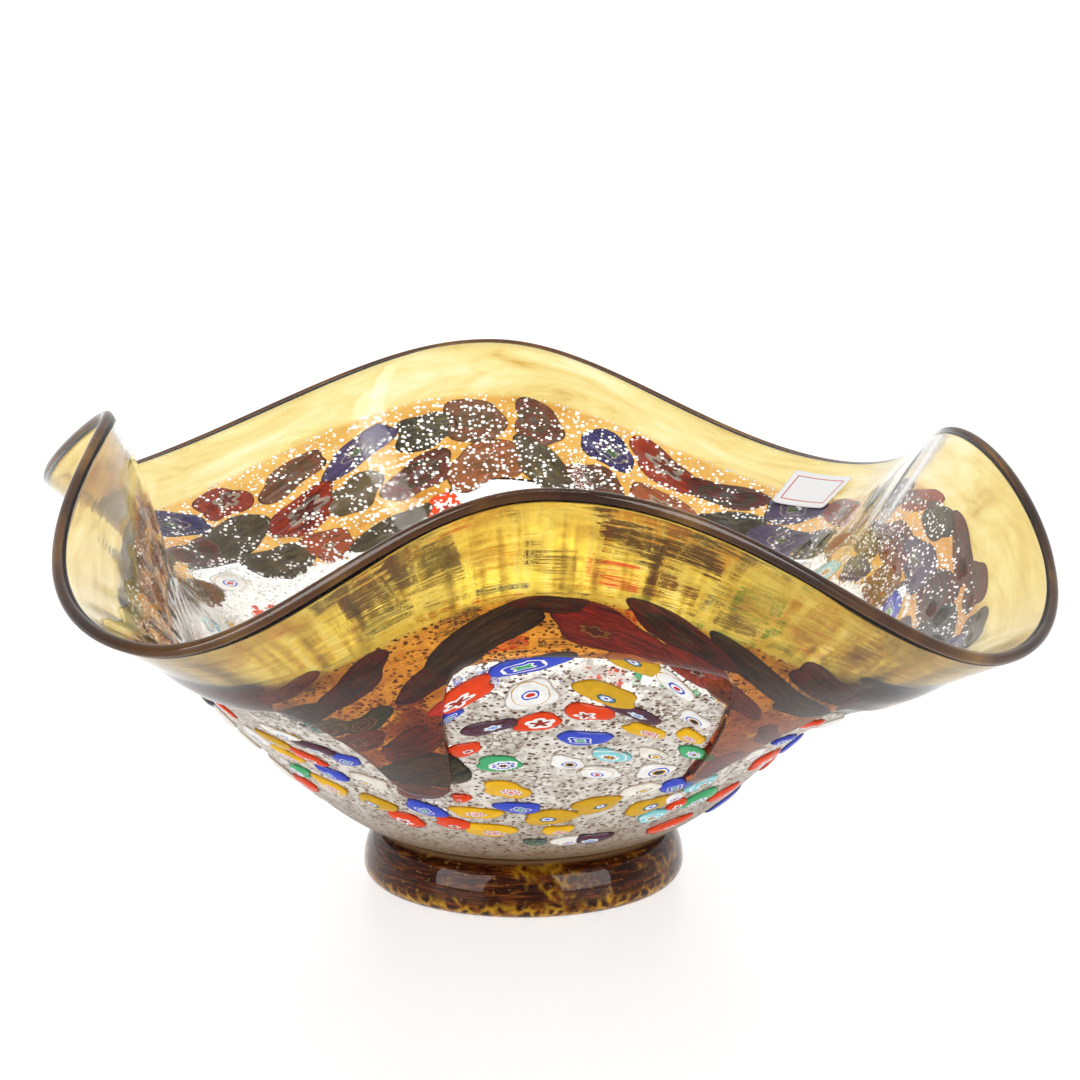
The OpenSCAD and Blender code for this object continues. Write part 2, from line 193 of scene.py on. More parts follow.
def sheet_faces(rows, columns, first=0, flip=False):
    """Quads of a sheet that closes round the bowl, rows by columns points from index first."""
    i, j = np.meshgrid(np.arange(rows - 1), np.arange(columns), indexing="ij")
    k = (j + 1) % columns
    quads = np.stack([i * columns + j, i * columns + k, (i + 1) * columns + k, (i + 1) * columns + j], -1)
    quads = quads.reshape(-1, 4) + first
    return (quads[:, ::-1] if flip else quads).tolist()


def band(columns, low, high):
    """Quads between two rings of points, which start at index low and index high."""
    j = np.arange(columns)
    k = (j + 1) % columns
    return np.stack([low + j, low + k, high + k, high + j], -1).tolist()


def shell(name, az, ways, inner_off, outer_off, closed_floor=False, third=0.0):
    """A closed wall of glass between two lifts. ways is rows by azimuths; the lifts are the same or numbers.
    Its zone attribute holds the way above the leaf's edge, and third."""
    rows, columns = ways.shape
    angle = np.broadcast_to(az, ways.shape)
    outer, inner = lifted(angle, ways, outer_off), lifted(angle, ways, inner_off)
    points = np.concatenate([outer.reshape(-1, 3), inner.reshape(-1, 3)])
    n = rows * columns
    faces = sheet_faces(rows, columns) + sheet_faces(rows, columns, n, True)
    top = (rows - 1) * columns
    faces += band(columns, top, n + top)
    if closed_floor:
        poles = np.array([outer[0].mean(0), inner[0].mean(0)])
        points = np.concatenate([points, poles])
        j = np.arange(columns)
        k = (j + 1) % columns
        faces += np.stack([k, j, 0 * j + 2 * n], -1).tolist()
        faces += np.stack([n + j, n + k, 0 * j + 2 * n + 1], -1).tolist()
    else:
        faces += band(columns, n, 0)
    a = np.radians(angle).ravel()
    wall = np.stack([np.cos(a), np.sin(a), ways.ravel()], -1)
    third = np.broadcast_to(third, ways.shape).ravel()
    zone = np.stack([(ways - leaf_top(angle)).ravel(), third, 0 * third], -1)
    wall, zone = np.concatenate([wall, wall]), np.concatenate([zone, zone])
    face = np.repeat([[0.0, 0, 0], [1.0, 0, 0]], n, axis=0)
    if closed_floor:
        wall = np.concatenate([wall, [[0, 0, ways[0, 0]]] * 2])
        zone = np.concatenate([zone, [[-1, 0, 0]] * 2])
        face = np.concatenate([face, [[0.0, 0, 0], [1.0, 0, 0]]])
    return make_object(name, points, faces, [("wall", wall), ("zone", zone), ("face", face)])


# Where the amber is deepest: azimuth, half width in degrees and how much deeper
AMBER_DEPTHS = ((280, 58, 0.85), (188, 22, 0.40), (352, 22, 0.25))
COLUMNS = 360
AZ = np.arange(COLUMNS) * 360 / COLUMNS


def blend_rows(low, high, rows, ease=1.0):
    """Rows of ways up from low to high, each a number or one value per azimuth."""
    f = (np.linspace(0, 1, rows) ** ease)[:, None]
    return low + (high - low) * f + 0 * AZ[None, :]


def waver(az, s, seed, waves):
    """A slow hand-made unevenness between -1 and 1."""
    rng = np.random.default_rng(seed)
    total = 0
    for _ in range(waves):
        around, up, turn = rng.integers(2, 9), rng.uniform(2, 12), rng.uniform(0, 6.28)
        total = total + np.sin(np.radians(az) * around + s * up + turn)
    return total / waves


RIBS, RIB_DEPTH = 56, 0.10


def build_gather():
    """The clear wall and floor, with faint ribs up the inside that fade out below and at the rim."""
    ways = np.concatenate([blend_rows(-FLOOR_S + 0.01, 0, 16)[:-1], blend_rows(0, 1, 90)])
    s = np.clip(ways, 0, 1)
    az = np.broadcast_to(AZ, ways.shape)
    ribs = RIB_DEPTH * np.sin(np.radians(az) * RIBS + 3 * waver(az, s, seed=5, waves=3))
    ribs = ribs * np.clip((s - 0.35) / 0.3, 0, 1) * np.clip((1 - s) / 0.1, 0, 1)
    inner = -clear_thickness(s) + ribs + 0.12 * waver(az, s, seed=6, waves=5) * (s < 0.98)
    return shell("clear_gather_glass", AZ, ways, inner, 0.0, True)


def cane_cover(ways):
    """1 where a cane slice lies over that place on the wall and tears the leaf, 0 away from them all."""
    cover = np.zeros(ways.shape)
    for az, way, wide, tall, _, scale in SLICE_PLACES:
        near = np.abs(np.mod(AZ - az + 180, 360) - 180) < 12
        r = wall_rz(az, way)[0]
        dx = np.radians(np.mod(AZ[near] - az + 180, 360) - 180) * r / (wide + 0.5)
        dy = (ways[:, near] - way) * scale / (tall + 0.5)
        cover[:, near] = np.maximum(cover[:, near], np.clip(1.6 - dx ** 2 - dy ** 2, 0, 1))
    return cover


def build_leaf():
    ways = np.concatenate([blend_rows(-FLOOR_S + 0.01, 0, 10)[:-1], blend_rows(0, leaf_top(AZ), 60)])
    return shell("silver_leaf_flakes", AZ, ways, LEAF_LOW, LEAF_HIGH, True, cane_cover(ways))


def build_amber():
    """The amber wall, its columns pulled a little sideways, swollen over the slices and soft at its edge."""
    rows = 64
    low = amber_bottom(AZ)
    ways = blend_rows(low, 1, rows, 1.3)
    az = AZ + 1.6 * (1 - ways) * np.sin(14 * ways + 2 * np.sin(np.radians(3 * AZ)))
    decorated = np.clip((leaf_top(az) + 0.03 - ways) / 0.08, 0, 1)
    decorated = decorated * decorated * (3 - 2 * decorated)
    outer = AMBER_HIGH + AMBER_SWELL * decorated + 0.12 * waver(az, ways, seed=8, waves=6)
    from_edge = np.clip((ways - low) / 0.03, 0, 1)
    outer = 0.35 + (outer - 0.35) * np.sqrt(1 - (1 - from_edge) ** 2)
    depth = 0.15 + 0.15 * waver(az, ways, seed=9, waves=5)
    for middle, half, deeper in AMBER_DEPTHS:
        depth = depth + deeper * np.exp(-(np.abs(np.mod(az - middle + 180, 360) - 180) / half) ** 4)
    return shell("amber_overlay_glass", az, ways, AMBER_LOW, outer, third=np.clip(depth, 0, 1))


def build_lip():
    """The bead swept along the wavy rim, a little uneven as hot glass leaves it."""
    sides = 14
    columns = COLUMNS
    middle = (AMBER_HIGH - CLEAR_RIM_T) / 2
    half_wall = (AMBER_HIGH + CLEAR_RIM_T) / 2
    _, up, out = wall_axes(AZ, np.ones(columns))
    base = wall_point(AZ, np.ones(columns))
    radius = LIP_R - 0.3 + 0.15 * waver(AZ, 0 * AZ, seed=12, waves=4)
    half_turn = np.pi - np.arcsin(np.clip(half_wall / radius, 0, 0.999))
    ring = []
    for k in range(sides + 1):
        a = half_turn * (2 * k / sides - 1)
        across = middle + radius * np.sin(a)
        forward = 0.03 - radius * np.cos(half_turn) + radius * np.cos(a)
        ring.append(base + across[:, None] * out + forward[:, None] * up)
    points = np.stack(ring)
    n = sides + 1
    # the last strip closes the bead inside the wall; its faces point the other way from the rest
    faces = sheet_faces(n, columns, 0, True) + band(columns, (n - 1) * columns, 0)
    a = np.radians(AZ)
    wall = np.tile(np.stack([np.cos(a), np.sin(a), 0 * a], -1), (n, 1))
    return make_object("rim_lip_bead", points.reshape(-1, 3), faces, [("wall", wall)])


def build_foot():
    """A lathed ring: flat stand, round flank, a neck that meets the bowl, and the hollow inside."""
    stand, widest, wide_z = 48.5, 53.4, 5.0
    hollow = 38.0
    profile = [(hollow + 1.2, 0.0), (stand - 0.5, 0.0)]
    profile += [(stand + (widest - stand) * math.cos(a), wide_z * (1 + math.sin(a)))
                for a in np.radians(np.arange(-80, 1, 16))]
    neck, rise = 47.4, 12.6
    profile += [(neck + (widest - neck) * math.cos(a), wide_z + rise * math.sin(a))
                for a in np.radians(np.arange(8, 73, 8))]
    collar = [(48.4, 17.6), (48.0, 18.5), (47.2, 18.9), (46.0, 18.7), (42.0, 17.8), (hollow + 2.0, 17.2)]
    well = [(hollow + 0.6, 15.6), (hollow, 12.0), (hollow, 5.0), (hollow + 0.2, 1.4)]
    profile += collar + well
    columns = 288
    az = np.arange(columns) * 2 * np.pi / columns
    rows = []
    for r, z in profile:
        wob = 1 + 0.0025 * np.sin(3 * az + 0.7) * min(1, z / 6)
        rows.append(np.stack([r * wob * np.cos(az), r * wob * np.sin(az), z + 0 * az], -1))
    n = len(rows)
    faces = sheet_faces(n, columns) + band(columns, (n - 1) * columns, 0)
    ob = make_object("foot_ring_glass", np.concatenate(rows), faces)
    smooth = ob.modifiers.new("smooth", "SUBSURF")
    smooth.levels = smooth.render_levels = 1
    return ob


# ---------------------------------------------------------------------------------------------
# Cane slices: one rounded pebble of glass for each slice that the CAD holds
# ---------------------------------------------------------------------------------------------
def solids_of(node):
    """The corner points, in mm, of each separate solid in a CAD node."""
    bm = bmesh.new()
    bm.from_mesh(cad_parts[node].data)
    bmesh.ops.remove_doubles(bm, verts=bm.verts, dist=1e-6)
    bm.verts.ensure_lookup_table()
    seen, found = set(), []
    for start in bm.verts:
        if start.index in seen:
            continue
        stack, island = [start], []
        seen.add(start.index)
        while stack:
            v = stack.pop()
            island.append(tuple(v.co))
            for e in v.link_edges:
                o = e.other_vert(v)
                if o.index not in seen:
                    seen.add(o.index)
                    stack.append(o)
        found.append(np.array(island) / MM)
    bm.free()
    found.sort(key=lambda p: tuple(np.round(p.mean(0), 2)))
    return found


WAYS = np.linspace(0, 1, 401)
SLICE_SEAT, SLICE_RIM, SLICE_HEIGHT = 0.1, 0.28, 1.25  # back face, rim and dome, in mm
SLICE_ROOM = 0.004  # way that an enlarged slice may reach past the leaf's edge


def is_covered(az, way):
    """Whether the amber runs over a slice whose middle is there."""
    return way > amber_bottom(np.array([az]))[0] + 0.01


def slice_spread(az, way):
    """How far a slice's soft edge runs out past the CAD's flat-sided one: most under the thick amber."""
    if is_covered(az, way):
        return 1.35 + 0.35 * math.sin(37 * way + az) ** 2, 1.5 + 0.6 * math.sin(3.1 * az) ** 2
    at_back = (az + 30) % 360 < 235
    spread = 1.4 if (at_back and way > 0.5) or way < 0.3 else 1.3 if at_back else 1.25
    return spread, spread


def place_of(points):
    """Azimuth, way up, half width, half height and turn of the slice that these corner points bound."""
    middle = points.mean(0)
    for _ in range(2):
        az = math.degrees(math.atan2(middle[1], middle[0]))
        radii = wall_rz(np.full(WAYS.shape, az), WAYS)[0]
        way = float(np.interp(math.hypot(middle[0], middle[1]), radii, WAYS))
        along, up, out = (v[0] for v in wall_axes(np.array([az]), np.array([way])))
        on_wall = wall_point(np.array([az]), np.array([way]))[0]
        middle = points.mean(0) - (points.mean(0) - on_wall) @ out * out
    x, y = (points - middle) @ along, (points - middle) @ up
    spread = np.cov(np.stack([x, y]))
    turn = 0.5 * math.atan2(2 * spread[0, 1], spread[0, 0] - spread[1, 1])
    wide = np.abs(x * math.cos(turn) + y * math.sin(turn)).max()
    tall = np.abs(-x * math.sin(turn) + y * math.cos(turn)).max()
    return az, way, wide, tall, turn


def place_slices(node):
    """Where each slice of a CAD node lies, with the wall's scale there in mm per way up."""
    places = []
    for corners in solids_of(node):
        az, way, wide, tall, turn = place_of(corners)
        scale = wall_scale(np.array([az]), np.array([way]))[0]
        wider, taller = slice_spread(az, way)
        room = (leaf_top(az) + SLICE_ROOM - way) * scale
        places.append((az, way, wide * wider, max(tall, min(tall * taller, room)), turn, scale))
    return places


def build_slices(node, places, seed):
    """All the slices of one kind, as domed pebbles, each a little uneven in its own way."""
    rng = np.random.default_rng(seed)
    spokes, levels = 36, 9
    phi = np.arange(spokes) * 2 * np.pi / spokes
    rho = np.sin(np.linspace(0, np.pi / 2, levels + 1)[1:])
    points, faces, cane, rim_share, under = [], [], [], [], []
    first = 0
    for az, way, wide, tall, turn, scale in places:
        pulse = rng.uniform(0, 6.28, 4)
        uneven = 1.6 if is_covered(az, way) else 1.3
        wobble = 1 + uneven * (0.07 * np.sin(2 * phi + pulse[0]) + 0.06 * np.sin(3 * phi + pulse[1])
                               + 0.035 * np.sin(5 * phi + pulse[2]))
        chance = rng.uniform()
        corner = rng.uniform(1.9, 3.2)
        square = (np.abs(np.cos(phi)) ** corner + np.abs(np.sin(phi)) ** corner) ** (-1 / corner)
        rim_x, rim_y = wide * square * np.cos(phi) * wobble, tall * square * np.sin(phi) * wobble
        dome = SLICE_HEIGHT * (0.85 + 0.3 * chance)
        layers = [(p, dome * (1 - p ** 3.2) ** 0.55 + SLICE_RIM) for p in rho]
        layers += [(0.96, SLICE_SEAT), (0.0, SLICE_SEAT)]
        r = wall_rz(az, way)[0]
        lift, x, y, share = [], [], [], []
        for p, off in [(0.0, dome + SLICE_RIM)] + layers:
            x.append(rim_x * p)
            y.append(rim_y * p)
            lift.append(np.full(spokes, off))
            share.append(np.full(spokes, p))
        x, y, lift, share = (np.concatenate(v) for v in (x, y, lift, share))
        dx, dy = x * math.cos(turn) - y * math.sin(turn), x * math.sin(turn) + y * math.cos(turn)
        spots = lifted(az + np.degrees(dx / r), np.clip(way + dy / scale, 0.001, 0.999), lift)
        count = len(layers) + 1
        ring = sheet_faces(count, spokes, first, True)
        points.append(spots)
        faces += ring
        cane.append(np.stack([x / wide, y / tall, np.full(len(x), chance)], -1))
        second, third = rng.uniform(), rng.uniform()
        rim_share.append(np.stack([share, np.full(len(x), second), np.full(len(x), third)], -1))
        covered = np.full(len(x), float(is_covered(az, way)))
        under.append(np.stack([covered, lift < SLICE_RIM, 0 * x], -1))
        first += count * spokes
    ob = make_object(node + "_slices", np.concatenate(points), faces,
                     [("cane", np.concatenate(cane)), ("share", np.concatenate(rim_share)),
                      ("under", np.concatenate(under))])
    bm = bmesh.new()
    bm.from_mesh(ob.data)
    bmesh.ops.remove_doubles(bm, verts=bm.verts, dist=1e-7)
    bmesh.ops.dissolve_degenerate(bm, edges=bm.edges, dist=1e-7)
    bmesh.ops.recalc_face_normals(bm, faces=bm.faces)
    bm.to_mesh(ob.data)
    bm.free()
    return ob


# ---------------------------------------------------------------------------------------------
# Materials
# ---------------------------------------------------------------------------------------------
class Graph:
    """A short way to write node trees: a call adds a node and returns its output."""

    def __init__(self, name):
        self.material = bpy.data.materials.new(name)
        self.material.use_nodes = True
        self.tree = self.material.node_tree
        self.tree.nodes.clear()
        self.out = self.tree.nodes.new("ShaderNodeOutputMaterial")

    def add(self, kind, output=0, **values):
        """A node of that kind. p_name sets a property, i3 the input numbered 3, and Some_Name that input."""
        node = self.tree.nodes.new("ShaderNode" + kind)
        properties = {key: value for key, value in values.items() if key.startswith("p_")}
        for key, value in properties.items():
            setattr(node, key[2:], value)
        for key, value in values.items():
            if key in properties:
                continue
            by_number = key[0] == "i" and key[1:].isdigit()
            socket = node.inputs[int(key[1:]) if by_number else key.replace("_", " ")]
            if isinstance(value, bpy.types.NodeSocket):
                self.tree.links.new(value, socket)
            else:
                socket.default_value = value
        return node if output is None else node.outputs[output]

    def math(self, operation, a, b=0.0, c=0.0, clamp=False):
        return self.add("Math", p_operation=operation, p_use_clamp=clamp, i0=a, i1=b, i2=c)

    def plus(self, a, b):
        return self.math("ADD", a, b)

    def minus(self, a, b, clamp=False):
        return self.math("SUBTRACT", a, b, clamp=clamp)

    def times(self, a, b, clamp=False):
        return self.math("MULTIPLY", a, b, clamp=clamp)

    def attribute(self, name):
        return self.add("Attribute", 1, p_attribute_name=name, p_attribute_type="GEOMETRY")

    def split(self, vector):
        node = self.tree.nodes.new("ShaderNodeSeparateXYZ")
        self.tree.links.new(vector, node.inputs[0])
        return node.outputs

    def scaled(self, vector, factors):
        return self.add("VectorMath", p_operation="MULTIPLY", i0=vector, i1=factors)

    def place_mm(self):
        """The place on the object, in mm."""
        return self.scaled(self.add("TexCoord", 3), (1000.0, 1000.0, 1000.0))

    def noise(self, vector, scale=1.0, detail=3.0, roughness=0.5, distortion=0.0, output=0):
        return self.add("TexNoise", output, Vector=vector, Scale=scale, Detail=detail,
                        Roughness=roughness, Distortion=distortion)

    def ramp(self, factor, stops, interpolation="LINEAR"):
        node = self.tree.nodes.new("ShaderNodeValToRGB")
        node.color_ramp.interpolation = interpolation
        elements = node.color_ramp.elements
        while len(elements) > 1:
            elements.remove(elements[-1])
        for k, (place, shade) in enumerate(stops):
            spot = elements[0] if k == 0 else elements.new(place)
            spot.position = place
            spot.color = (*shade, 1.0)
        self.tree.links.new(factor, node.inputs[0])
        return node.outputs[0]

    def step(self, value, low, high):
        """0 at low and 1 at high, which may be the smaller, with a smooth rise between."""
        return self.add("MapRange", Value=value, From_Min=low, From_Max=high,
                        p_interpolation_type="SMOOTHSTEP")

    def mix(self, factor, a, b, blend="MIX"):
        node = self.tree.nodes.new("ShaderNodeMix")
        node.data_type, node.blend_type = "RGBA", blend
        for socket, value in ((node.inputs[0], factor), (node.inputs[6], a), (node.inputs[7], b)):
            if isinstance(value, bpy.types.NodeSocket):
                self.tree.links.new(value, socket)
            elif socket == node.inputs[0]:
                socket.default_value = value
            else:
                socket.default_value = (*value, 1.0)
        return node.outputs[2]

    def bump(self, height, strength, distance):
        return self.add("Bump", Height=height, Strength=strength, Distance=distance)

    def principled(self, **values):
        return self.add("BsdfPrincipled", 0, **values)

    def glass(self, **values):
        """Clear or tinted glass. It reflects less than its index gives, as the world is white all round."""
        return self.principled(IOR=1.5, Transmission_Weight=1.0, Specular_Tint=(0.14, 0.14, 0.14, 1),
                               **values)

    def finish(self, surface, volume=None):
        self.tree.links.new(surface, self.out.inputs["Surface"])
        if volume is not None:
            self.tree.links.new(volume, self.out.inputs["Volume"])
        return self.material


def clear_glass():
    g = Graph("clear_glass")
    wall = g.attribute("wall")
    streaks = g.noise(g.scaled(wall, (9.0, 9.0, 2.5)), 1.0, 4.0, 0.6, 0.6)
    tint = g.ramp(streaks, [(0.3, (0.97, 0.955, 0.925)), (0.7, (1.0, 0.995, 0.98))])
    lines = g.noise(g.scaled(wall, (3.0, 3.0, 46.0)), 1.0, 3.0, 0.5)
    normal = g.bump(lines, 0.10, 0.0004)
    rough = g.ramp(g.noise(g.scaled(wall, (14.0, 14.0, 14.0))), [(0.4, (0.0,) * 3), (0.8, (0.025,) * 3)])
    return g.finish(g.glass(Base_Color=tint, Roughness=rough, Normal=normal))


def amber_glass():
    g = Graph("amber_glass")
    wall, zone = g.attribute("wall"), g.split(g.attribute("zone"))
    over_leaf, depth = zone[0], zone[1]
    swirl = g.noise(g.scaled(wall, (2.6, 2.6, 9.0)), 1.0, 4.0, 0.62, 1.6)
    fine = g.noise(g.scaled(wall, (5.0, 5.0, 34.0)), 1.0, 3.0, 0.6, 0.8)
    mixed = g.plus(g.times(swirl, 0.7), g.times(fine, 0.3))
    pale = g.ramp(mixed, [(0.34, (0.72, 0.50, 0.14)), (0.45, (0.87, 0.76, 0.36)),
                          (0.55, (0.93, 0.86, 0.50)), (0.66, (0.99, 0.97, 0.76))])
    gold = g.ramp(mixed, [(0.36, (0.44, 0.22, 0.02)), (0.46, (0.63, 0.44, 0.045)),
                          (0.60, (0.78, 0.65, 0.14))])
    honey = g.mix(depth, pale, gold)
    # painted reflection: the leaf's edge, seen again and again in the ribs, painted as gold and brown bars
    bars = g.noise(g.scaled(wall, (38.0, 38.0, 2.0)), 1.0, 2.0, 0.5, 0.3)
    rungs = g.noise(g.scaled(wall, (22.0, 22.0, 110.0)), 1.0, 2.0, 0.6, 0.4)
    glint = g.plus(g.times(bars, 0.70), g.times(rungs, 0.30))
    painted_reflection_bars = g.ramp(glint, [(0.36, (0.30, 0.17, 0.01)), (0.46, (0.66, 0.46, 0.05)),
                               (0.54, (0.92, 0.74, 0.10)), (0.64, (0.95, 0.82, 0.26))])
    patch = g.noise(g.scaled(wall, (6.0, 6.0, 6.0)), 1.0, 2.0, 0.5)
    band = g.times(g.step(over_leaf, 0.0, 0.02), g.step(over_leaf, 0.17, 0.09))
    band = g.times(g.times(band, g.step(depth, 0.75, 0.98)), g.step(patch, 0.38, 0.52))
    honey = g.mix(g.times(band, 0.85), honey, painted_reflection_bars)
    thick_pale = g.mix(1.0, pale, (0.90, 0.66, 0.38), "MULTIPLY")
    thick = g.mix(depth, thick_pale, g.mix(1.0, gold, (0.95, 0.58, 0.28), "MULTIPLY"))
    deep = g.mix(g.step(over_leaf, 0.006, -0.008), honey, thick)
    lines = g.noise(g.scaled(wall, (4.0, 4.0, 80.0)), 1.0, 3.0, 0.5)
    normal = g.bump(lines, 0.12, 0.0004)
    return g.finish(g.glass(Base_Color=deep, Roughness=0.015, Normal=normal),
                    g.add("VolumeAbsorption", 0, Color=(0.96, 0.76, 0.26, 1.0), Density=300.0))


def lip_glass():
    g = Graph("lip_glass")
    wall = g.attribute("wall")
    patch = g.noise(g.scaled(wall, (5.0, 5.0, 1.0)), 1.0, 3.0, 0.5)
    shade = g.ramp(patch, [(0.35, (0.08, 0.024, 0.005)), (0.52, (0.19, 0.075, 0.014)),
                           (0.70, (0.46, 0.26, 0.06))])
    return g.finish(g.principled(Base_Color=shade, Roughness=0.02, IOR=1.5, Transmission_Weight=0.70,
                                 Specular_Tint=(0.45, 0.45, 0.45, 1)))


def silver_leaf():
    g = Graph("silver_leaf")
    wall, zone = g.attribute("wall"), g.split(g.attribute("zone"))
    way, torn_by_cane, inside = g.split(wall)[2], zone[1], g.split(g.attribute("face"))[0]
    upper = g.step(way, 0.58, 0.78)
    place = g.place_mm()
    torn = g.noise(place, 0.42, 3.0, 0.62, 0.3)
    clumps = g.noise(place, 0.055, 2.0, 0.5)
    # an even coat low on the wall, torn apart as the wall was blown out
    cover = g.plus(0.22, g.times(upper, 0.44))
    cover = g.plus(cover, g.times(torn_by_cane, 0.33))
    level = g.plus(torn, g.times(g.minus(clumps, 0.5), 0.22))
    coat = g.add("MapRange", Value=g.minus(level, cover), From_Min=-0.008, From_Max=0.012)
    # specks of leaf: scattered low down, and high up the last bits of leaf; their dark brown on the outer
    # face is painted shade of their unlit side
    squat = g.scaled(place, (1.0, 1.0, 1.5))
    cells = g.add("TexVoronoi", None, p_feature="F1", Vector=squat, Scale=0.58)
    pick = g.split(cells.outputs["Color"])
    near_edge = g.times(g.step(zone[0], -0.05, 0.0), 0.45)
    chosen = g.minus(g.plus(pick[0], g.times(clumps, 0.9)), near_edge)
    chosen = g.minus(chosen, g.times(torn_by_cane, 0.15))
    chosen = g.plus(chosen, g.times(upper, 0.06))
    speck = g.step(g.minus(cells.outputs["Distance"], g.times(pick[1], 0.32)), 0.22, 0.11)
    speck = g.times(speck, g.step(chosen, 0.50, 0.56))
    flake = g.math("MAXIMUM", coat, speck)
    tone = g.noise(place, 0.30, 2.0, 0.5)
    warm = g.math("POWER", g.step(way, 0.34, 0.0), 0.8)
    silver = g.ramp(tone, [(0.35, (0.43, 0.38, 0.32)), (0.6, (0.72, 0.68, 0.62))])
    silver = g.mix(warm, silver, (0.20, 0.13, 0.07))
    # painted shade: the dark brown given to the specks on the outer face stands for the unlit side of the
    # flakes
    dark_speck_shade = g.ramp(pick[2], [(0.2, (0.10, 0.035, 0.018)), (0.8, (0.20, 0.14, 0.10))])
    crack = g.add("TexVoronoi", 0, p_feature="DISTANCE_TO_EDGE", Vector=squat, Scale=0.34)
    cracked = g.times(g.step(crack, 0.12, 0.03), g.step(clumps, 0.56, 0.66))
    outer = g.mix(g.times(cracked, 0.75), silver, (0.20, 0.145, 0.10))
    outer = g.mix(speck, outer, dark_speck_shade)
    bright = g.ramp(tone, [(0.35, (0.86, 0.84, 0.80)), (0.6, (0.97, 0.965, 0.95))])
    grey = g.times(g.times(speck, 0.6), g.minus(1.0, upper))
    inner = g.mix(g.math("MAXIMUM", grey, g.times(cracked, 0.4)), bright, (0.36, 0.33, 0.29))
    silver = g.mix(inside, outer, inner)
    metal = g.principled(Base_Color=silver, Roughness=0.4, Specular_IOR_Level=0.1)
    hole = g.add("BsdfTransparent")
    return g.finish(g.add("MixShader", 0, i0=flake, i1=hole, i2=metal))


def foot_glass():
    g = Graph("foot_glass")
    place = g.add("TexCoord", 3)
    scaled = g.scaled(place, (1000.0, 1000.0, 1000.0))
    height = g.split(scaled)[2]
    warp = g.noise(scaled, 0.10, 3.0, 0.6, 0.5, output=1)
    bent = g.add("VectorMath", p_operation="ADD", i0=scaled, i1=g.scaled(warp, (5.0, 5.0, 5.0)))
    cells = g.add("TexVoronoi", 0, p_feature="DISTANCE_TO_EDGE", Vector=bent, Scale=0.21)
    net = g.step(cells, 0.26, 0.03)
    patch = g.noise(scaled, 0.055, 3.0, 0.6, 0.8)
    low = g.step(height, 7.5, 2.5)
    high = g.step(height, 7.0, 12.0)
    gold_share = g.times(net, g.math("MAXIMUM", low, g.step(patch, 0.55, 0.68)), clamp=True)
    gold_share = g.times(gold_share, g.minus(1.0, g.times(high, 0.35)))
    streak = g.noise(g.scaled(place, (110.0, 110.0, 1100.0)), 1.0, 4.0, 0.65, 0.5)
    brown = g.ramp(streak, [(0.34, (0.012, 0.002, 0.001)), (0.50, (0.045, 0.008, 0.001)),
                            (0.60, (0.14, 0.033, 0.004)), (0.70, (0.26, 0.085, 0.010))])
    fleck = g.step(g.noise(scaled, 0.55, 2.0, 0.6), 0.64, 0.70)
    gold = g.ramp(g.noise(scaled, 0.30, 2.0, 0.5), [(0.35, (0.22, 0.06, 0.004)), (0.60, (0.58, 0.30, 0.018))])
    shade = g.mix(gold_share, brown, gold)
    shade = g.mix(g.times(fleck, 0.25), shade, (0.80, 0.50, 0.12))
    shade = g.mix(g.step(height, 17.0, 18.6), shade, (0.26, 0.15, 0.07))
    return g.finish(g.principled(Base_Color=shade, Roughness=0.05, IOR=1.5, Transmission_Weight=0.2,
                                 Specular_Tint=(0.16, 0.16, 0.16, 1)))


def paper():
    g = Graph("label_paper")
    place = g.attribute("wall")
    x, y, _ = g.split(place)
    frame_x = g.math("COMPARE", g.math("ABSOLUTE", x), 0.80, 0.02)
    inside_y = g.math("LESS_THAN", g.math("ABSOLUTE", y), 0.72)
    frame_y = g.math("COMPARE", g.math("ABSOLUTE", y), 0.70, 0.025)
    inside_x = g.math("LESS_THAN", g.math("ABSOLUTE", x), 0.82)
    line = g.math("MAXIMUM", g.times(frame_x, inside_y), g.times(frame_y, inside_x))
    fibre = g.noise(g.scaled(place, (30.0, 30.0, 30.0)), 1.0, 3.0)
    white = g.ramp(fibre, [(0.3, (0.88, 0.87, 0.86)), (0.7, (0.95, 0.945, 0.94))])
    return g.finish(g.principled(Base_Color=g.mix(line, white, (0.62, 0.06, 0.05)), Roughness=0.45))


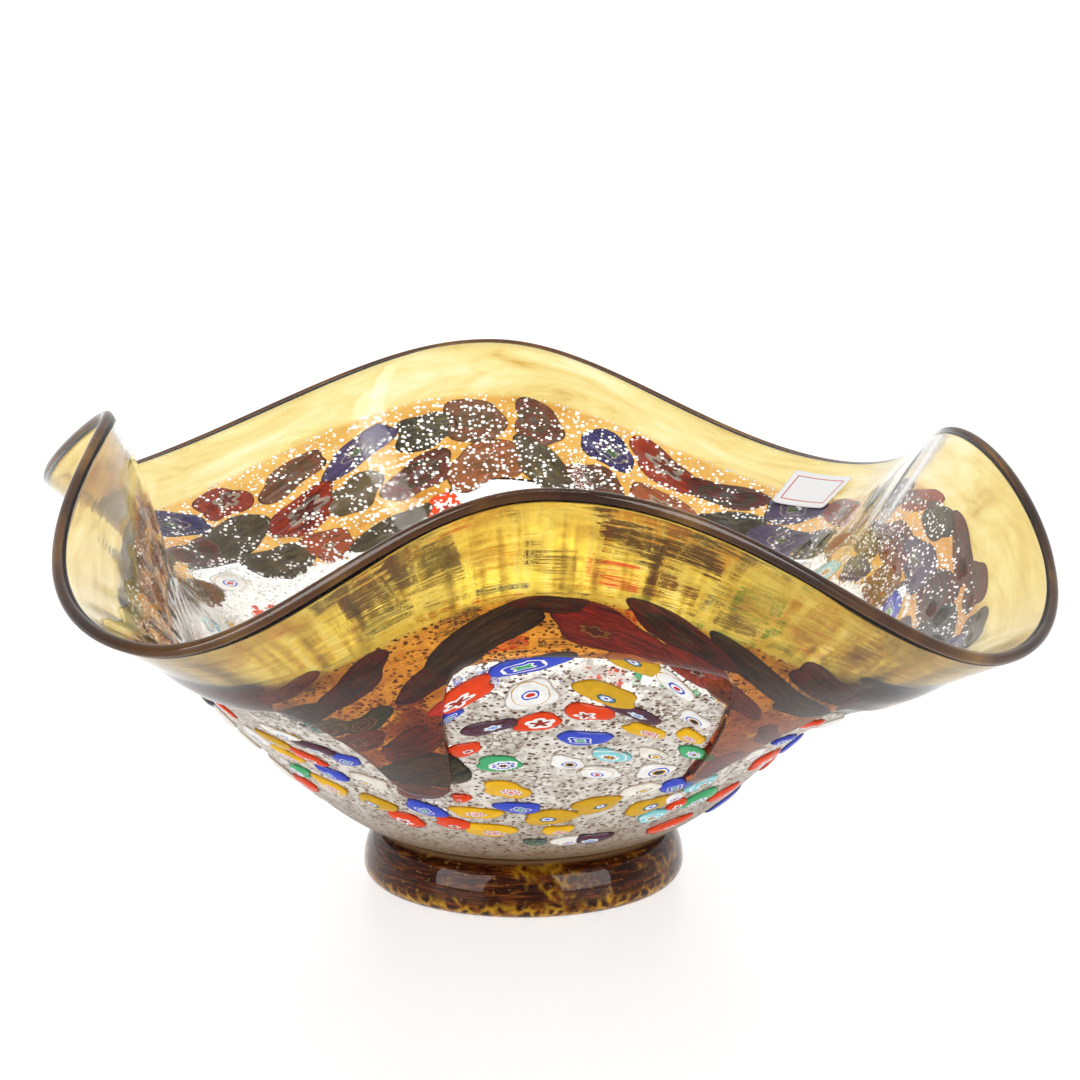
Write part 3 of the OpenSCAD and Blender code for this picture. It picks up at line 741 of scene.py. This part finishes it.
def cane(name, body, stops, points=8, star=0.12, streaked=0.0):
    """Cane glass. stops are rings out from the middle as (share of the slice's radius, shade), then the body.
    The innermost rings have petals or a star's points; streaked canes were drawn out lengthwise."""
    g = Graph(name)
    x, y, chance = g.split(g.attribute("cane"))
    share, second, third = g.split(g.attribute("share"))
    x = g.plus(x, g.times(g.minus(chance, 0.5), 0.45))
    y = g.plus(y, g.times(g.minus(second, 0.5), 0.30))
    radius = g.math("SQRT", g.plus(g.times(x, x), g.times(y, y)))
    turned = g.times(chance, 6.28)
    petal_angle = g.plus(g.times(g.math("ARCTAN2", y, x), float(points)), turned)
    petals = g.math("COSINE", petal_angle)
    place = g.place_mm()
    smear = g.noise(place, 0.45, 2.0, 0.5)
    depth = g.times(g.minus(1.0, g.times(radius, 1.5), clamp=True), star)
    wavy = g.times(radius, g.plus(1.0, g.times(petals, depth)))
    wavy = g.plus(wavy, g.times(g.minus(smear, 0.5), 0.16))
    wavy = g.times(wavy, g.plus(0.8, g.times(third, 0.4)))
    shades = [(0.0 if k == 0 else stops[k - 1][0], shade) for k, (_, shade) in enumerate(stops)]
    pattern = g.ramp(wavy, shades + [(stops[-1][0], body)], "CONSTANT")
    if streaked:
        along = g.add("CombineXYZ", 0, X=g.times(x, 1.2), Y=g.times(y, 7.0), Z=turned)
        drawn = g.noise(along, 1.0, 3.0, 0.6, 0.8)
        lines = g.ramp(drawn, [(0.34, body), (0.46, tuple(0.35 * v for v in body)), (0.52, stops[0][1]),
                               (0.57, body), (0.66, stops[-1][1])])
        pattern = g.mix(streaked, pattern, lines)
    mottle = g.noise(place, 0.22, 3.0, 0.6)
    pattern = g.mix(g.step(mottle, 0.35, 0.75), g.mix(1.0, pattern, (0.84, 0.84, 0.84), "MULTIPLY"), pattern)
    # Slices under the amber are made browner, then multiplied by dark streaks with orange glints. The
    # darkening is painted shade, as little light reaches them there. The orange glints are painted
    # highlights, and the streaks are partly the cane's own drawn lines.
    under, inner, _ = g.split(g.attribute("under"))
    pulled = g.add("CombineXYZ", 0, X=g.times(x, 0.8), Y=g.times(y, 4.5), Z=turned)
    swirl = g.noise(pulled, 1.0, 4.0, 0.65, 1.2)
    painted_shade_and_glints = g.ramp(swirl, [(0.34, (0.10, 0.09, 0.08)), (0.47, (0.32, 0.26, 0.22)),
                            (0.53, (0.62, 0.52, 0.42)), (0.60, (0.18, 0.14, 0.12)),
                            (0.70, (1.0, 0.85, 0.55))])
    browned = g.mix(0.3, pattern, (0.16, 0.09, 0.045))
    covered = g.mix(1.0, browned, painted_shade_and_glints, "MULTIPLY")
    # painted light: the inner faces of some covered slices are made lighter and orange, as if lit through the
    # amber
    painted_inside_glow = g.times(inner, g.times(g.math("POWER", third, 3.0), 0.16))
    covered = g.mix(painted_inside_glow, covered, (0.78, 0.50, 0.20))
    pattern = g.mix(under, pattern, covered)
    pattern = g.mix(g.times(g.step(share, 0.91, 0.985), 0.7), pattern,
                    g.mix(1.0, pattern, (0.42, 0.30, 0.20), "MULTIPLY"))
    normal = g.bump(g.noise(place, 0.5, 2.0), 0.12, 0.0003)
    return g.finish(g.principled(Base_Color=pattern, Roughness=0.12, IOR=1.5, Normal=normal,
                                 Specular_IOR_Level=0.10))


WHITE, BLACK, RED = (0.88, 0.87, 0.84), (0.02, 0.012, 0.02), (0.60, 0.025, 0.015)
SCARLET, YELLOW, OCHRE = (0.78, 0.06, 0.010), (0.82, 0.46, 0.012), (0.64, 0.36, 0.015)
COBALT, SKY, TURQUOISE = (0.05, 0.08, 0.55), (0.22, 0.40, 0.78), (0.26, 0.66, 0.72)
GREEN, BOTTLE, PLUM = (0.07, 0.42, 0.17), (0.075, 0.12, 0.08), (0.09, 0.02, 0.025)
BROWN, ORANGE, CREAM = (0.14, 0.035, 0.02), (0.70, 0.14, 0.02), (0.84, 0.80, 0.70)
OLIVE, SLATE, MAROON = (0.30, 0.27, 0.06), (0.16, 0.22, 0.30), (0.32, 0.03, 0.02)

# Each kind of cane: body shade, rings out from the middle, points of the star, how deep the points are,
# and how streaked it is
CANES = {
    "murrine_red_star": (
        SCARLET, [(0.24, MAROON), (0.46, WHITE)],
        5, 0.75, 0.0),
    "murrine_white_ring": (
        WHITE, [(0.15, RED), (0.26, WHITE), (0.36, COBALT), (0.80, WHITE), (0.84, OCHRE)],
        2, 0.30, 0.0),
    "murrine_ochre_eye": (
        OCHRE, [(0.08, COBALT), (0.17, WHITE), (0.22, SKY), (0.31, BOTTLE)],
        8, 0.10, 0.0),
    "murrine_yellow_flower": (
        YELLOW, [(0.11, RED), (0.21, WHITE), (0.33, RED), (0.45, WHITE), (0.49, BROWN)],
        7, 0.50, 0.0),
    "murrine_cobalt": (
        COBALT, [(0.18, GREEN), (0.24, WHITE), (0.42, COBALT), (0.48, WHITE), (0.86, COBALT)],
        4, 0.45, 0.0),
    "murrine_turquoise": (
        TURQUOISE, [(0.13, OCHRE), (0.25, BROWN), (0.42, WHITE), (0.70, TURQUOISE), (0.78, WHITE)],
        9, 0.40, 0.0),
    "murrine_green": (
        GREEN, [(0.16, BROWN), (0.27, WHITE), (0.36, COBALT), (0.50, WHITE)],
        8, 0.35, 0.0),
    "murrine_black_eye": (
        WHITE, [(0.25, BLACK), (0.34, OCHRE), (0.44, WHITE), (0.53, COBALT)],
        6, 0.05, 0.0),
    "murrine_aubergine": (
        PLUM, [(0.20, SKY), (0.34, WHITE), (0.40, SLATE)],
        6, 0.30, 0.15),
    "murrine_red": (
        SCARLET, [(0.16, MAROON), (0.24, WHITE), (0.34, RED)],
        6, 0.30, 0.0),
    "murrine_white_ochre": (
        CREAM, [(0.18, OCHRE), (0.30, CREAM), (0.38, BROWN), (0.46, WHITE)],
        5, 0.20, 0.0),
    "murrine_bottle_green": (
        BOTTLE, [(0.20, SLATE), (0.34, BOTTLE), (0.50, OLIVE)],
        5, 0.20, 0.65),
    "murrine_brown": (
        MAROON, [(0.18, SLATE), (0.30, MAROON), (0.44, BROWN), (0.60, BOTTLE)],
        7, 0.25, 0.30),
    "murrine_orange": (
        ORANGE, [(0.16, BROWN), (0.30, ORANGE), (0.46, MAROON)],
        6, 0.20, 0.35),
}


# ---------------------------------------------------------------------------------------------
# Assembly
# ---------------------------------------------------------------------------------------------
def finish_piece(ob, node, material):
    """Gives a piece its material and puts it in the place of its CAD node."""
    ob.data.materials.append(material)
    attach(ob, "root")
    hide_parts(node)
    return ob


def build_label():
    """A sheet of paper with round corners inside the wall, one corner curling away from it."""
    label_az, label_s, width, height = 51.0, 0.9, 26.0, 20.0
    gap, paper_t = 0.30, 0.15
    cells = 24
    r = wall_rz(label_az, label_s)[0]
    scale = wall_scale(np.array([label_az]), np.array([label_s]))[0]
    u, v = np.meshgrid(np.linspace(-1, 1, cells + 1), np.linspace(-1, 1, cells + 1), indexing="ij")
    corner = 0.16
    straight = 1 - corner
    past_u, past_v = np.maximum(np.abs(u) - straight, 0), np.maximum(np.abs(v) - straight, 0)
    push = past_u ** 2 + past_v ** 2
    pull = np.where(push > corner ** 2, corner / np.sqrt(np.maximum(push, 1e-9)), 1.0)
    ru = np.sign(u) * (np.minimum(np.abs(u), straight) + past_u * pull)
    rv = np.sign(v) * (np.minimum(np.abs(v), straight) + past_v * pull)
    az = label_az + np.degrees(ru * width / 2 / r)
    s = label_s + rv * height / 2 / scale
    curl = 0.5 * np.clip(u + v - 1.3, 0, 1) ** 2
    far_lift = -clear_thickness(s) - gap - curl
    near, far = lifted(az, s, far_lift - paper_t), lifted(az, s, far_lift)
    n = cells + 1
    faces = []
    for i in range(cells):
        for j in range(cells):
            a, b, c, d = i * n + j, (i + 1) * n + j, (i + 1) * n + j + 1, i * n + j + 1
            faces += [[a, d, c, b], [n * n + a, n * n + b, n * n + c, n * n + d]]
    border = ([i * n for i in range(cells)] + [cells * n + j for j in range(cells)]
              + [(cells - i) * n + cells for i in range(cells)] + [cells - j for j in range(cells)])
    for k, a in enumerate(border):
        b = border[(k + 1) % len(border)]
        faces.append([a, b, b + n * n, a + n * n])
    coords = np.stack([u.ravel(), v.ravel(), 0 * u.ravel()], -1)
    return make_object("paper_label_sheet", np.concatenate([near.reshape(-1, 3), far.reshape(-1, 3)]), faces,
                       [("wall", np.concatenate([coords, coords]))])


PLACES = {node: place_slices(node) for node in CANES}
SLICE_PLACES = [place for places in PLACES.values() for place in places]
finish_piece(build_gather(), "clear_gather", clear_glass())
finish_piece(build_leaf(), "silver_leaf", silver_leaf())
finish_piece(build_amber(), "amber_overlay", amber_glass())
# The pieces that the brighter softboxes are kept to
SHINY = [finish_piece(build_lip(), "rim_lip", lip_glass())]
SHINY.append(finish_piece(build_foot(), "foot_ring", foot_glass()))
finish_piece(build_label(), "paper_label", paper())
for order, (node, (body, rings, petals, depth, streaked)) in enumerate(CANES.items()):
    ob = build_slices(node, PLACES[node], 100 + order)
    SHINY.append(finish_piece(ob, node, cane(node + "_glass", body, rings, petals, depth, streaked)))


# ---------------------------------------------------------------------------------------------
# Floor, light and camera
# ---------------------------------------------------------------------------------------------
# The camera, fitted to the photo: place in m, lens in mm, tilt down and turn in degrees
CAMERA_PLACE, CAMERA_LENS, CAMERA_TILT, CAMERA_TURN = (0.0, -1.099, 0.354), 114.2, 12.34, -0.29
# The softboxes to the left and right: how far to the side, width and height in m, and radiances
SIDE_X, SOFTBOX_W, SOFTBOX_H = 0.97, 1.0, 1.1
SOFTBOX_RADIANCE, GLEAM_RADIANCE, STRIP_RADIANCE = 11.0, 20.0, 22.0
AIM = (0, 0, 0.03)
FLOOR_HALF, FLOOR_GREY, FLOOR_GLOW = 6.0, (0.35, 0.35, 0.35, 1), 0.72


def build_floor():
    """A grey floor with a glow of its own, which together look as white as the background."""
    bm = bmesh.new()
    bmesh.ops.create_grid(bm, x_segments=8, y_segments=8, size=FLOOR_HALF)
    mesh = bpy.data.meshes.new("floor")
    bm.to_mesh(mesh)
    bm.free()
    ob = bpy.data.objects.new("floor", mesh)
    bpy.context.scene.collection.objects.link(ob)
    g = Graph("floor_white")
    mesh.materials.append(g.finish(g.principled(
        Base_Color=FLOOR_GREY, Roughness=0.35, Emission_Color=(1, 1, 1, 1), Emission_Strength=FLOOR_GLOW)))


def add_light(name, size_x, size_y, radiance, place, target, lit=()):
    """A softbox with the given radiance, the white background being 1. The camera doesn't see it, and it
    lights no dull surface directly. Where lit lists pieces, it reaches only those."""
    data = bpy.data.lights.new(name, "AREA")
    data.shape, data.size, data.size_y = "RECTANGLE", size_x, size_y
    data.energy = radiance * size_x * size_y * math.pi
    ob = bpy.data.objects.new(name, data)
    bpy.context.scene.collection.objects.link(ob)
    ob.location = place
    ob.rotation_euler = (Vector(target) - Vector(place)).to_track_quat("-Z", "Y").to_euler()
    ob.visible_diffuse = False
    ob.visible_camera = False
    if lit:
        receivers = bpy.data.collections.new(name + "_lit")
        for piece in lit:
            receivers.objects.link(piece)
        ob.light_linking.receiver_collection = receivers


def build_world():
    world = bpy.data.worlds.new("studio")
    bpy.context.scene.world = world
    world.use_nodes = True
    background = world.node_tree.nodes["Background"]
    background.inputs["Color"].default_value = (1, 1, 1, 1)
    background.inputs["Strength"].default_value = 1.0


def build_camera():
    data = bpy.data.cameras.new("camera")
    data.sensor_width = 36.0
    data.lens = CAMERA_LENS
    data.clip_start, data.clip_end = 0.05, 40.0
    ob = bpy.data.objects.new("camera", data)
    bpy.context.scene.collection.objects.link(ob)
    ob.location = CAMERA_PLACE
    ob.rotation_euler = (math.radians(90 - CAMERA_TILT), 0.0, math.radians(CAMERA_TURN))
    bpy.context.scene.camera = ob


build_floor()
build_world()
for side, x in (("left", -SIDE_X), ("right", SIDE_X)):
    place = (x, -0.94, 0.58)
    add_light("softbox_" + side, SOFTBOX_W, SOFTBOX_H, SOFTBOX_RADIANCE, place, AIM)
    add_light("gleam_" + side, SOFTBOX_W, SOFTBOX_H, GLEAM_RADIANCE, place, AIM, SHINY)
add_light("strip_top", 0.9, 0.10, STRIP_RADIANCE, (0.0, -0.5, 1.6), (0, 0, 0.1))
build_camera()
bpy.context.scene.view_settings.view_transform = "Standard"
